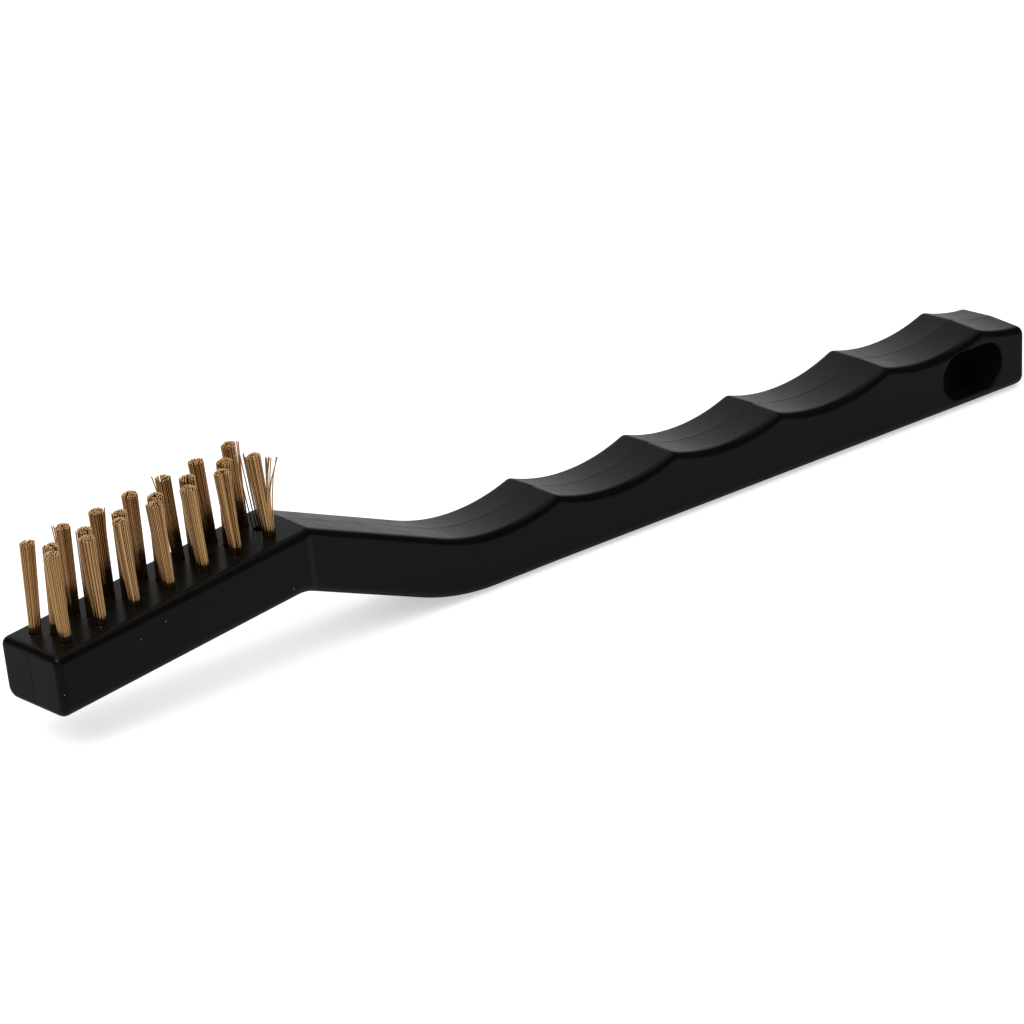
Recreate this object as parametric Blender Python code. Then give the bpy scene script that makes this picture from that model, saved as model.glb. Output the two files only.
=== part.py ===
"""A scratch brush: a one-piece plastic handle with finger hollows and a hang slot, and 21 wire tufts
held by flat anchors in blind holes.

Lengths are metres. The brush lies on its flat back with the wires up: X runs from the tip of the head to
the tail, Z is up, and the origin is under the middle of the whole brush."""

import math

import bmesh
import bpy
from mathutils import Matrix, Vector

# Driving dimensions of the handle's outline, seen from the side
LENGTH = 0.1838
TIP_TO_KINK = 0.04372
KINK_HEIGHT = 0.01896
HEAD_THICKNESS = 0.00886
NECK_EXTRA_DEPTH = 0.00037
HEAD_TILT = math.radians(6.45)
NECK_TILT = math.radians(20.1)
NECK_UNDER_TILT = math.radians(19.8)
NOTCH_RADIUS = 0.006
ELBOW_UNDER_RADIUS = 0.040

# The thumb rest and the finger hollows share one radius. Their floors and spacing vary a little, and the
# places along the grip are shares of half the length, from the middle
HOLLOW_RADIUS = 0.03175
THUMB_FLOOR = 0.00821
FINGER_SHARES = (0.0955, 0.332, 0.5535, 0.7848, 1.0153)
FINGER_FLOORS = (0.00793, 0.00812, 0.00826, 0.00921, 0.00911)
CREST_RADIUS = 0.001
WAIST_SHARE = -0.0262

# Widths of the handle
HEAD_WIDTH = 0.0118
NECK_WIDTH = 0.0114
WAIST_WIDTH = 0.01083
TAIL_WIDTH = 0.01255
SHOULDER_RUN = 0.00112

# Rounding of the handle's edges, and the low crown that the mould's parting line leaves on the top
EDGE_RADIUS = 0.0012
LOWER_EDGE_RADIUS = 0.0017
TIP_RADIUS = 0.001
TAIL_RADIUS = 0.0008
CROWN = 0.00012
TAIL_CROWN = 0.0003
CROWN_RISE_RUN = 0.03

# The hang slot through the tail, and the walls left behind it and under it
SLOT_LENGTH = 0.01255
SLOT_HEIGHT = 0.0071
SLOT_TAIL_WALL = 0.0049
SLOT_FLOOR_WALL = 0.00163

# The tufts: three rows of seven, the margins that they leave on the head's top, and how far each row is
# stepped toward the tail
ROWS = ("near", "middle", "far")
TUFTS_PER_ROW = 7
TIP_MARGIN = 0.0044
KINK_MARGIN = 0.0045
SIDE_MARGIN = 0.0033
ROW_STEPS = {"near": 0, "middle": 0.0017, "far": 0}
TRIM_HEIGHT = 0.0124
ROOT_RADIUS = 0.00075
TOP_RADIUS = 0.00105
STRANDS_ACROSS = 4
STRAND_GAP = 0.00007

# Lean of each row's tufts toward the tail and toward the far side, as shares of the trim height
ROW_LEAN_SHARES = {"near": (-0.03, 0.007), "middle": (-0.014, -0.03), "far": (-0.017, 0.017)}

# The holes and what sits in them
HOLE_RADIUS = 0.00105
HEAD_FLOOR = 0.00224
FLOOR_GAP = 0.0002
ROOT_START = 0.0004
ANCHOR_WIDTH = 0.0017
ANCHOR_HEIGHT = 0.0012
ANCHOR_THICKNESS = 0.0002
ANCHOR_GAP = 0.00025

# Mesh steps
CORNER_STEPS = 5
END_STEPS = 4
HOLLOW_STEPS = 14
CREST_STEPS = 4
NOTCH_STEPS = 4
HOLE_SIDES = 16
SLOT_SIDES = 34
CUTTER_OVERRUN = 0.002
SMOOTH_ANGLE = math.radians(30.0)

# Values that follow from the driving dimensions
END_X = LENGTH / 2
TIP_OVERHANG = TIP_RADIUS * (math.cos(HEAD_TILT) + math.sin(HEAD_TILT) - 1)
TIP_X = -END_X - TIP_OVERHANG
KINK_X = TIP_TO_KINK - END_X
KINK_UNDER_Z = KINK_HEIGHT - HEAD_THICKNESS - NECK_EXTRA_DEPTH
HEAD_LEAN = HEAD_THICKNESS * math.sin(HEAD_TILT)
HEAD_RUN = (KINK_X - TIP_X) / math.cos(HEAD_TILT)
SHOULDER_X = KINK_X - SHOULDER_RUN
UPRIGHT_START_X = KINK_X + 2 * HEAD_LEAN
WAIST_X = WAIST_SHARE * END_X
SLOT_X = END_X - SLOT_TAIL_WALL - SLOT_LENGTH / 2
SLOT_Z = SLOT_FLOOR_WALL + SLOT_HEIGHT / 2
TUFT_PITCH = (HEAD_RUN - TIP_MARGIN - KINK_MARGIN) / (TUFTS_PER_ROW - 1)
ROW_SPACING = HEAD_WIDTH / 2 - SIDE_MARGIN
HOLE_DEPTH = HEAD_THICKNESS - HEAD_FLOOR


def clear_scene():
    for obj in list(bpy.data.objects):
        bpy.data.objects.remove(obj, do_unlink=True)


def material(name, colour, metallic, roughness):
    made = bpy.data.materials.new(name)
    made.use_nodes = True
    shader = made.node_tree.nodes["Principled BSDF"]
    shader.inputs["Base Color"].default_value = colour
    shader.inputs["Metallic"].default_value = metallic
    shader.inputs["Roughness"].default_value = roughness
    return made


def plastic():
    return material("black_plastic", (0.008, 0.009, 0.0085, 1.0), 0.0, 0.28)


def brass():
    return material("brass_wire", (0.72, 0.45, 0.19, 1.0), 1.0, 0.32)


def steel():
    return material("anchor_steel", (0.56, 0.57, 0.58, 1.0), 1.0, 0.4)


def add_object(name, mesh, look):
    obj = bpy.data.objects.new(name, mesh)
    bpy.context.scene.collection.objects.link(obj)
    if look:
        mesh.materials.append(look)
    return obj


def finished_mesh(name, bm):
    bmesh.ops.recalc_face_normals(bm, faces=bm.faces)
    mesh = bpy.data.meshes.new(name)
    bm.to_mesh(mesh)
    bm.free()
    return mesh


def moved_verts(result):
    return [item for item in result["geom"] if isinstance(item, bmesh.types.BMVert)]


def crossing(left, left_tilt, right, right_tilt):
    """The point where a line rising at left_tilt through left meets one rising at right_tilt through right."""
    left_slope = math.tan(left_tilt)
    right_slope = math.tan(right_tilt)
    x = (right.y - left.y + left_slope * left.x - right_slope * right.x) / (left_slope - right_slope)
    return Vector((x, left.y + left_slope * (x - left.x)))


class Round:
    """The arc that rounds the corner of two lines of the underside, from one tangent point to the other."""

    def __init__(self, corner, left_tilt, right_tilt, radius):
        turn = right_tilt - left_tilt
        reach = radius * math.tan(abs(turn) / 2)
        self.side = math.copysign(1, turn)
        self.radius = radius
        self.start = corner - reach * Vector((math.cos(left_tilt), math.sin(left_tilt)))
        self.end = corner + reach * Vector((math.cos(right_tilt), math.sin(right_tilt)))
        self.centre = self.start + self.side * radius * Vector((-math.sin(left_tilt), math.cos(left_tilt)))

    def holds(self, x):
        return self.start.x <= x <= self.end.x

    def height(self, x):
        return self.centre.y - self.side * math.sqrt(self.radius**2 - (x - self.centre.x) ** 2)


# The underside, from the tip: head line, notch, neck line, elbow, flat back
HEAD_UNDER = Vector((KINK_X, KINK_HEIGHT - HEAD_THICKNESS / math.cos(HEAD_TILT)))
NECK_UNDER = Vector((KINK_X, KINK_UNDER_Z))
BACK = Vector((END_X, 0))
NOTCH_CORNER = crossing(HEAD_UNDER, HEAD_TILT, NECK_UNDER, -NECK_UNDER_TILT)
NOTCH = Round(NOTCH_CORNER, HEAD_TILT, -NECK_UNDER_TILT, NOTCH_RADIUS)
ELBOW_CORNER = crossing(NECK_UNDER, -NECK_UNDER_TILT, BACK, 0)
ELBOW = Round(ELBOW_CORNER, -NECK_UNDER_TILT, 0, ELBOW_UNDER_RADIUS)


def under_height(x):
    """Height of the handle's underside at x."""
    for bend in (NOTCH, ELBOW):
        if bend.holds(x):
            return bend.height(x)
    if x < NOTCH.start.x:
        return HEAD_UNDER.y + (x - HEAD_UNDER.x) * math.tan(HEAD_TILT)
    if x < ELBOW.start.x:
        return NECK_UNDER.y - (x - NECK_UNDER.x) * math.tan(NECK_UNDER_TILT)
    return 0


def sloping_top_height(x):
    """Height of the head's and the neck's straight tops at x."""
    if x < KINK_X:
        return KINK_HEIGHT + (x - KINK_X) * math.tan(HEAD_TILT)
    return KINK_HEIGHT - (x - KINK_X) * math.tan(NECK_TILT)


def hollow_centres():
    """Centres of the hollows' circles. The thumb rest's circle touches the neck's top line."""
    drop = KINK_HEIGHT - THUMB_FLOOR - HOLLOW_RADIUS * (1 - math.cos(NECK_TILT))
    thumb_x = KINK_X + drop / math.tan(NECK_TILT) + HOLLOW_RADIUS * math.sin(NECK_TILT)
    centres = [Vector((thumb_x, THUMB_FLOOR + HOLLOW_RADIUS))]
    for share, floor in zip(FINGER_SHARES, FINGER_FLOORS):
        centres.append(Vector((share * END_X, floor + HOLLOW_RADIUS)))
    return centres


def crest_centre(left, right):
    """Centre of the small round between two hollows, which touches both circles from below."""
    half = (right - left) / 2
    fall = math.sqrt((HOLLOW_RADIUS + CREST_RADIUS) ** 2 - half.length_squared)
    across = Vector((half.y, -half.x)).normalized()
    return left + half + fall * across


def tilt_of(centre, point):
    """Angle of point about centre, from straight down, positive toward the tail."""
    return math.atan2(point.x - centre.x, centre.y - point.y)


def arc_points(centre, radius, start, end, steps):
    points = []
    for step in range(steps + 1):
        angle = start + (end - start) * step / steps
        points.append(centre + radius * Vector((math.sin(angle), -math.cos(angle))))
    return points


def grip_top():
    """Points of the grip's top line, from the end of the neck's straight top to the tail."""
    centres = hollow_centres()
    points = []
    start = -NECK_TILT
    for left, right in zip(centres, centres[1:]):
        crest = crest_centre(left, right)
        end = tilt_of(left, crest)
        points += arc_points(left, HOLLOW_RADIUS, start, end, HOLLOW_STEPS)
        start = tilt_of(right, crest)
        points += arc_points(crest, CREST_RADIUS, end + math.pi, start + math.pi, CREST_STEPS)[1:-1]
    last = centres[-1]
    end = math.asin((END_X - last.x) / HOLLOW_RADIUS)
    return points + arc_points(last, HOLLOW_RADIUS, start, end, HOLLOW_STEPS // 2)


def half_width(x):
    """Half of the handle's width at x."""
    if x <= SHOULDER_X:
        return HEAD_WIDTH / 2
    if x <= KINK_X:
        return (HEAD_WIDTH + (NECK_WIDTH - HEAD_WIDTH) * (x - SHOULDER_X) / SHOULDER_RUN) / 2
    if x <= WAIST_X:
        share = (x - KINK_X) / (WAIST_X - KINK_X)
        return (NECK_WIDTH + (WAIST_WIDTH - NECK_WIDTH) * share) / 2
    share = (x - WAIST_X) / (END_X - WAIST_X)
    return (WAIST_WIDTH + (TAIL_WIDTH - WAIST_WIDTH) * share) / 2


def crown_height(x):
    """Height of the parting line's crown over the top's edges at x. It rises toward the tail."""
    share = max(0, 1 - (END_X - x) / CROWN_RISE_RUN)
    return CROWN + (TAIL_CROWN - CROWN) * share


def end_rounding(radius):
    """(distance from the end face, inset) of each step of an end's rounding, from the face inward."""
    steps = []
    for step in range(END_STEPS + 1):
        angle = math.pi / 2 * step / END_STEPS
        steps.append((radius * (1 - math.cos(angle)), radius * (1 - math.sin(angle))))
    return steps


def tilted_station(x, inset=0):
    """A section square to the head's top, at top point x."""
    under_x = x + HEAD_LEAN
    return Vector((x, sloping_top_height(x))), Vector((under_x, under_height(under_x))), inset


def upright_station(x, top_z, inset=0):
    return Vector((x, top_z)), Vector((x, under_height(x))), inset


def stations():
    """(top point, underside point, inset) of each section of the handle, from the tip to the tail."""
    made = []
    for distance, inset in end_rounding(TIP_RADIUS):
        made.append(tilted_station(TIP_X + distance * math.cos(HEAD_TILT), inset))
    notch_start = NOTCH.start.x - HEAD_LEAN
    for step in range(NOTCH_STEPS + 1):
        made.append(tilted_station(notch_start + (SHOULDER_X - notch_start) * step / NOTCH_STEPS))
    made.append(tilted_station(KINK_X))
    grip = [point for point in grip_top() if point.x < END_X - TAIL_RADIUS]
    for x in (UPRIGHT_START_X, ELBOW.start.x, (ELBOW.start.x + grip[0].x) / 2):
        made.append(upright_station(x, sloping_top_height(x)))
    made += [upright_station(point.x, point.y) for point in grip]
    last = hollow_centres()[-1]
    for distance, inset in reversed(end_rounding(TAIL_RADIUS)):
        x = END_X - distance
        floor = last.y - math.sqrt(HOLLOW_RADIUS**2 - (x - last.x) ** 2)
        made.append(upright_station(x, floor, inset))
    return made


def section_outline(half, height, inset, crown):
    """Rounded rectangle of one section as (y, height) points, with the crown at the middle of its top."""
    corners = (
        (1, height - EDGE_RADIUS, EDGE_RADIUS),
        (-1, height - EDGE_RADIUS, EDGE_RADIUS),
        (-1, LOWER_EDGE_RADIUS, LOWER_EDGE_RADIUS),
        (1, LOWER_EDGE_RADIUS, LOWER_EDGE_RADIUS),
    )
    points = []
    for quarter, (side, z, full_radius) in enumerate(corners):
        y = side * (half - full_radius)
        radius = full_radius - inset
        if quarter == 1:
            points.append((0, height - inset + crown))
        for step in range(CORNER_STEPS + 1):
            angle = math.pi / 2 * (quarter + step / CORNER_STEPS)
            points.append((y + radius * math.cos(angle), z + radius * math.sin(angle)))
    return points


def add_section(bm, top, under, inset):
    """One closed ring of edges in the plane through a station's top and underside points."""
    rise = top - under
    height = rise.length
    up = rise / height
    verts = []
    for y, lift in section_outline(half_width(top.x), height, inset, crown_height(top.x)):
        point = under + up * lift
        verts.append(bm.verts.new((point.x, y, point.y)))
    return [bm.edges.new((a, b)) for a, b in zip(verts, verts[1:] + verts[:1])]


def handle_mesh():
    """The handle as one skin bridged from section to section, with flat ends."""
    bm = bmesh.new()
    rings = [add_section(bm, *station) for station in stations()]
    for ring, following in zip(rings, rings[1:]):
        bmesh.ops.bridge_loops(bm, edges=ring + following)
    for ring in (rings[0], rings[-1]):
        bmesh.ops.contextual_create(bm, geom=ring)
    return finished_mesh("handle", bm)


def slot_cutter():
    """A prism through the tail whose outline is two half circles with straight runs between them."""
    bm = bmesh.new()
    radius = SLOT_HEIGHT / 2
    bmesh.ops.create_circle(bm, cap_ends=True, segments=SLOT_SIDES, radius=radius)
    straight = (SLOT_LENGTH - SLOT_HEIGHT) / 2
    for vert in bm.verts:
        vert.co.x += math.copysign(straight, vert.co.x)
    extruded = bmesh.ops.extrude_face_region(bm, geom=bm.faces[:])
    depth = TAIL_WIDTH + 2 * CUTTER_OVERRUN
    bmesh.ops.translate(bm, verts=moved_verts(extruded), vec=(0, 0, depth))
    bmesh.ops.translate(bm, verts=bm.verts, vec=(0, 0, -depth / 2))
    obj = add_object("slot_cutter", finished_mesh("slot_cutter", bm), None)
    obj.location = (SLOT_X, 0, SLOT_Z)
    obj.rotation_euler.x = math.pi / 2
    return obj


def tuft_places():
    """(name, along, across, row) of each tuft, numbered from the tip, in the head's own frame."""
    places = []
    for index, row in enumerate(ROWS):
        across = (index - 1) * ROW_SPACING
        for number in range(TUFTS_PER_ROW):
            along = TIP_MARGIN - HEAD_RUN + number * TUFT_PITCH + ROW_STEPS[row]
            places.append((f"{row}_{number + 1}", along, across, row))
    return places


def hole_cutter(frame):
    """All the blind holes' cylinders, square to the head's top."""
    bm = bmesh.new()
    depth = HOLE_DEPTH + CUTTER_OVERRUN
    for _, along, across, _ in tuft_places():
        place = Matrix.Translation((along, across, CUTTER_OVERRUN - depth / 2))
        bmesh.ops.create_cone(
            bm,
            cap_ends=True,
            segments=HOLE_SIDES,
            radius1=HOLE_RADIUS,
            radius2=HOLE_RADIUS,
            depth=depth,
            matrix=place,
        )
    obj = add_object("hole_cutter", finished_mesh("hole_cutter", bm), None)
    obj.parent = frame
    return obj


def cut(obj, cutter):
    cutter.hide_render = True
    cutter.display_type = "WIRE"
    boolean = obj.modifiers.new(cutter.name, "BOOLEAN")
    boolean.operation = "DIFFERENCE"
    boolean.solver = "EXACT"
    boolean.object = cutter


def make_handle(frame):
    obj = add_object("handle", handle_mesh(), plastic())
    obj.data.shade_smooth()
    obj.data.set_sharp_from_angle(angle=SMOOTH_ANGLE)
    cut(obj, slot_cutter())
    cut(obj, hole_cutter(frame))


def disc_point(u, v, radius):
    """A point of the square from -1 to 1, pressed out to a round disc."""
    return radius * u * math.sqrt(1 - v * v / 2), radius * v * math.sqrt(1 - u * u / 2)


def tuft_mesh(row):
    """A tuft: a root that sits in its hole and straddles the anchor, and the strands that spread from it."""
    bm = bmesh.new()
    bmesh.ops.create_grid(bm, x_segments=STRANDS_ACROSS, y_segments=STRANDS_ACROSS, size=1)
    for vert in bm.verts:
        vert.co.x, vert.co.y = disc_point(vert.co.x, vert.co.y, ROOT_RADIUS)
        vert.co.z = -ROOT_START
    top_faces = bm.faces[:]
    add_root(bm, top_faces)
    add_strands(bm, top_faces, row)
    return finished_mesh(f"tuft_{row}", bm)


def add_root(bm, top_faces):
    """The root's side down to the anchor, then a leg on each side of it."""
    leg_end = FLOOR_GAP - HOLE_DEPTH
    waist = leg_end + ANCHOR_HEIGHT + ANCHOR_GAP
    root = bmesh.ops.duplicate(bm, geom=top_faces)["geom"]
    bottom = [item for item in root if isinstance(item, bmesh.types.BMFace)]
    bottom_verts = [item for item in root if isinstance(item, bmesh.types.BMVert)]
    bmesh.ops.translate(bm, verts=bottom_verts, vec=(0, 0, waist + ROOT_START))
    bmesh.ops.reverse_faces(bm, faces=bottom)
    rims = [edge for edge in bm.edges if edge.is_boundary]
    bmesh.ops.bridge_loops(bm, edges=rims)
    quarter = ROOT_RADIUS / 2
    for side in (-1, 1):
        column = [face for face in bottom if face.is_valid and side * face.calc_center_median().x > quarter]
        leg = bmesh.ops.extrude_face_region(bm, geom=column)
        bmesh.ops.translate(bm, verts=moved_verts(leg), vec=(0, 0, leg_end - waist))
        bmesh.ops.delete(bm, geom=column, context="FACES")


def add_strands(bm, top_faces, row):
    """One straight strand from each cell of the root's top. They spread as they rise, so none cross."""
    lean_x, lean_y = (share * TRIM_HEIGHT for share in ROW_LEAN_SHARES[row])
    spread = TOP_RADIUS / ROOT_RADIUS - 1
    bmesh.ops.inset_individual(bm, faces=top_faces, thickness=STRAND_GAP / 2, use_even_offset=True)
    ends = bmesh.ops.extrude_discrete_faces(bm, faces=top_faces)["faces"]
    for face in ends:
        middle = face.calc_center_median()
        shift = Vector((lean_x + spread * middle.x, lean_y + spread * middle.y, TRIM_HEIGHT + ROOT_START))
        bmesh.ops.translate(bm, verts=face.verts, vec=shift)


def make_tufts(frame):
    look = brass()
    for name, along, across, row in tuft_places():
        obj = add_object(f"tuft_{name}", tuft_mesh(row), look)
        obj.parent = frame
        obj.location = (along, across, 0)


def anchor_mesh():
    """The flat piece of metal that the wires are folded over."""
    bm = bmesh.new()
    size = Matrix.Diagonal((ANCHOR_THICKNESS, ANCHOR_WIDTH, ANCHOR_HEIGHT, 1))
    bmesh.ops.create_cube(bm, size=1, matrix=size)
    return finished_mesh("anchor", bm)


def make_anchors(frame):
    look = steel()
    height = FLOOR_GAP - HOLE_DEPTH + ANCHOR_HEIGHT / 2
    for name, along, across, _ in tuft_places():
        obj = add_object(f"anchor_{name}", anchor_mesh(), look)
        obj.parent = frame
        obj.location = (along, across, height)


def head_frame():
    """An empty at the kink whose X axis runs along the head's top and whose Z axis is square to it."""
    frame = add_object("head_frame", None, None)
    frame.location = (KINK_X, 0, KINK_HEIGHT)
    frame.rotation_euler.y = -HEAD_TILT
    return frame


def main():
    clear_scene()
    frame = head_frame()
    make_handle(frame)
    make_tufts(frame)
    make_anchors(frame)


main()
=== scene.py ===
import math
import random

import bmesh
import bpy
from mathutils import Matrix, Vector


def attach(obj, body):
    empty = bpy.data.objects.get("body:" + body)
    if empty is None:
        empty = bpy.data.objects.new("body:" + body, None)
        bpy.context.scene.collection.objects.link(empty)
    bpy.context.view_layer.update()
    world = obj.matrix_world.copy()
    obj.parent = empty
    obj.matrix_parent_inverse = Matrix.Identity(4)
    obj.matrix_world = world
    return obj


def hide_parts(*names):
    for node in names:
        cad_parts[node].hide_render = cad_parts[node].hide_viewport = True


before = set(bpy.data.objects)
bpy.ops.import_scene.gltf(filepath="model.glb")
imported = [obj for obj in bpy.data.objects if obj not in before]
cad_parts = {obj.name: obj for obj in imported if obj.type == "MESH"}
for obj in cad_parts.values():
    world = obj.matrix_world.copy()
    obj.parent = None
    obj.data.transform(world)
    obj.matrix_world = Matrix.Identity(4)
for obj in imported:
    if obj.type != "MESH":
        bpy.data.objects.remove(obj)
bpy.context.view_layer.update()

# The moulded handle, with the same outline as the frame's handle
KINK_X = -0.04818
KINK_HEIGHT = 0.01896
HEAD_THICKNESS = 0.00886
HEAD_TILT = math.radians(6.45)
NECK_TILT = math.radians(20.1)
NECK_UNDER_TILT = math.radians(19.8)
NECK_UNDER_HEIGHT = 0.00973
NOTCH_RADIUS = 0.006
ELBOW_RADIUS = 0.040
HOLLOW_RADIUS = 0.03175
CREST_RADIUS = 0.001
THUMB_FLOOR = 0.00821
FINGER_PLACES = (0.00878, 0.03051, 0.05087, 0.07212, 0.09331)
FINGER_FLOORS = (0.00793, 0.00812, 0.00826, 0.00921, 0.00911)
HEAD_WIDTH = 0.0118
NECK_WIDTH = 0.0114
WAIST_WIDTH = 0.01083
TAIL_WIDTH = 0.01255
WAIST_X = -0.00241
SHOULDER_X = -0.0493
CREASE_RUN = 0.0001
TIP_X = -0.092
TAIL_X = 0.0919
EDGE_RADIUS = 0.0012
LOWER_EDGE_RADIUS = 0.0017
EDGE_STEPS = 6
TIP_RADIUS = 0.001
TAIL_RADIUS = 0.0008
TAIL_CLEARANCE = 1.5 * TAIL_RADIUS
END_STEPS = 5
HOLLOW_STEPS = 20
CREST_STEPS = 6
NOTCH_STEPS = 6
SHOULDER_STEPS = 3
NECK_STEPS = 6
ELBOW_STEPS = 5
CROWN = 0.00012
TAIL_CROWN = 0.0003
CROWN_RISE_RUN = 0.03
SEAM_HALF_WIDTH = 0.00013
SEAM_DEPTH = 0.000055
SMOOTH_ANGLE = math.radians(30)

# The hang slot. RIM_SLANT is the most that an edge of its rim runs across the handle
SLOT_LENGTH = 0.01255
SLOT_HEIGHT = 0.0071
SLOT_TAIL_WALL = 0.0049
SLOT_FLOOR_WALL = 0.00163
SLOT_SIDES = 66
SLOT_X = TAIL_X - SLOT_TAIL_WALL - SLOT_LENGTH / 2
SLOT_Z = SLOT_FLOOR_WALL + SLOT_HEIGHT / 2
SLOT_HALF_STRAIGHT = (SLOT_LENGTH - SLOT_HEIGHT) / 2
RIM_RADIUS = 0.00025
RIM_STEPS = 3
RIM_SLANT = 0.0005
CUTTER_DEPTH = 0.02

# How near a point has to be to count as merged, on an end face, on the slot's outline or on its wall
MERGE_MARGIN = 1e-7
END_MARGIN = 2e-5
OUTLINE_MARGIN = 2e-5
WALL_MARGIN = RIM_RADIUS / 25

# The tufts, placed along the head's top from the kink and across it
ROW_ACROSS = {"near": -0.0026, "middle": 0.0, "far": 0.0026}
BASE_REACH = {
    "near": (0.0398, 0.0338, 0.0280, 0.0221, 0.0161, 0.0104, 0.0045),
    "middle": (0.0392, 0.0330, 0.0270, 0.0212, 0.0152, 0.0094, 0.0040),
    "far": (0.0406, 0.0340, 0.0280, 0.0223, 0.0159, 0.0101, 0.0046),
}
TOP_REACH = {
    "near": (0.0398, 0.0341, 0.0284, 0.0225, 0.0171, 0.0114, 0.0057),
    "middle": (0.0382, 0.0327, 0.0268, 0.0210, 0.0150, 0.0090, 0.0066),
    "far": (0.0394, 0.0337, 0.0283, 0.0225, 0.0169, 0.0112, 0.0053),
}
TOP_ACROSS = {
    "near": (-0.0023, -0.0027, -0.0025, -0.0026, -0.0029, -0.0031, -0.0031),
    "middle": (-0.0005, -0.0006, -0.0007, -0.0010, -0.0005, -0.0010, -0.0019),
    "far": (0.0029, 0.0026, 0.0022, 0.0023, 0.0023, 0.0022, 0.0023),
}
TRIM_HEIGHT = 0.01266
TRIM_ROUNDING = 0.0003
BUNDLE_RADIUS = 0.00076
TOP_SPREAD = 1.44
CLUMPS = 6
CLUMP_PULL = 0.2
FOOT_PULL = 0.08
HEIGHT_SCATTER = 0.00004
HOLE_RADIUS = 0.00085
HOLE_DEPTH = 0.003
HOLE_SIDES = 24
SEED_STEP = 100

# One wire. Its steps and its end are shares of its height, and its tone is 0 when dark and 1 when pale
WIRE_RADIUS = 0.000088
WIRE_SIDES = 6
WIRE_COUNT = 58
WIRE_TURN = math.pi * (3 - math.sqrt(5))
WIRE_SCATTER = WIRE_RADIUS / 3
WIRE_STEPS = (0.25, 0.25, 0.25, 0.2375, 0.01, 0.0025)
WIRE_END = 0.005
WIRE_END_WIDTH = 0.55
WIRE_SMOOTH_ANGLE = math.radians(70)
TONE_MIDDLE = 0.45
TONE_SCATTER = 0.25
TONE_LIMIT = 0.8
CUT_TONE = 1
CUT_TONE_FROM = 0.9

# The last tuft of the middle row has lost most of its wires, and a few wires elsewhere lean out.
# Their tops are (reach, across)
SPARSE_TUFT = ("middle", 6)
SPARSE_STEP = 16
LOOSE_TOPS = {
    ("near", 6): (
        (0.0050, -0.0046), (0.0050, -0.0048), (0.0049, -0.0051), (0.0049, -0.0053), (0.0048, -0.0055),
        (0.0042, -0.0059), (0.0042, -0.0061),
    ),
    ("far", 1): ((0.0344, 0.0040), (0.0343, 0.0037)),
    ("far", 2): ((0.0270, 0.0021),),
    ("far", 4): ((0.0175, 0.0038),),
    ("far", 6): ((0.0039, 0.0020), (0.0041, 0.0021), (0.0044, 0.0022), (0.0046, 0.0024), (0.0048, 0.0025)),
}
LOOSE_BEND = 2.5

# The camera that the photograph was taken with
CAMERA_AZIMUTH = math.radians(-43.175)
CAMERA_ELEVATION = math.radians(22.058)
CAMERA_ROLL = math.radians(-1.529)
CAMERA_DISTANCE = 0.81276
CAMERA_TARGET = Vector((-0.0063, 0.00023, 0.00722))
CAMERA_LENS = 208.11
CAMERA_SENSOR = 36

# Colours and finishes. A noise has its repeats over a metre, its octaves, how far it is drawn out along
# each axis, and its turn about Y. It lies mostly between NOISE_LOW and NOISE_HIGH
NOISE_LOW = 0.3
NOISE_HIGH = 0.7
PLASTIC_DARK = (0.0018, 0.0020, 0.0019)
PLASTIC_PALE = (0.0032, 0.0035, 0.0033)
PLASTIC_ROUGHNESS = (0.2, 0.3)
PLASTIC_SPECULAR = 0.13
PLASTIC_CLOUDS = {"scale": 90, "detail": 3, "stretch": (2.5, 1, 1)}
PLASTIC_WEAR = {"scale": 420, "detail": 4}
PLASTIC_GRAIN = {"scale": 2600, "detail": 2}
PLASTIC_SWELL = {"scale": 160, "detail": 1}
GRAIN_BUMP = {"strength": 0.12, "distance": 0.00002}
SWELL_BUMP = {"strength": 0.02, "distance": 0.0001}
SLOT_DULLING = 0.3
# The next level lowers the plastic's specular on the slot's walls: painted shade that darkens the deep slot
SLOT_PAINTED_SHADE = 0.1
DUST_COLOUR = (0.3, 0.29, 0.26)
DUST_CELLS = 500
DUST_REACH = 0.042
BRASS_TONES = ((0.0, (0.54, 0.31, 0.13)), (0.5, (0.76, 0.47, 0.21)), (1.0, (1.0, 0.71, 0.38)))
BRASS_ROUGHNESS = (0.09, 0.15)
BRASS_STREAKS = {"scale": 2000, "detail": 2, "stretch": (1, 1, 20), "turn": -HEAD_TILT}
STREAK_BUMP = {"strength": 0.03, "distance": 0.00001}
CUT_DULLING = 0.2
ANCHOR_DARK = (0.42, 0.42, 0.43)
ANCHOR_PALE = (0.58, 0.58, 0.6)
ANCHOR_ROUGHNESS = (0.3, 0.45)
ANCHOR_LINES = {"scale": 2500, "detail": 2, "stretch": (1, 20, 1)}

# Levels of the studio: white is 1
FLOOR_GLOW = 0.5
FLOOR_PALENESS = 0.85
FLOOR_DIMMING = 0.35
FLOOR_ROUGHNESS = 0.9
FLOOR_SPECULAR = 0.1
BACKDROP_LEVEL = 0.57
CEILING_LEVEL = 0.6
FRONT_LEVEL = 0.4
ROOM_LEVEL = 0.04
WORLD_LIGHT = 0.75

# Places in the studio. A wall fades in between two values of a direction's X, Y or Z
FLOOR_SIZE = 6
FLOOR_DROP = 0.0002
BACKDROP_FADE_X = (-0.3, 0.1)
BACKDROP_FADE_Y = (0.1, 0.55)
FRONT_FADE_X = (-0.2, -0.5)
FRONT_FADE_Y = (-0.1, -0.5)
CEILING_FADE_Z = (0.8, 0.92)
LAMP_AZIMUTH = math.radians(-78)
LAMP_ELEVATION = math.radians(52)
LAMP_DISTANCE = 1.2
LAMP_SIZE = 0.8
LAMP_POWER = 6


# Materials

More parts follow.
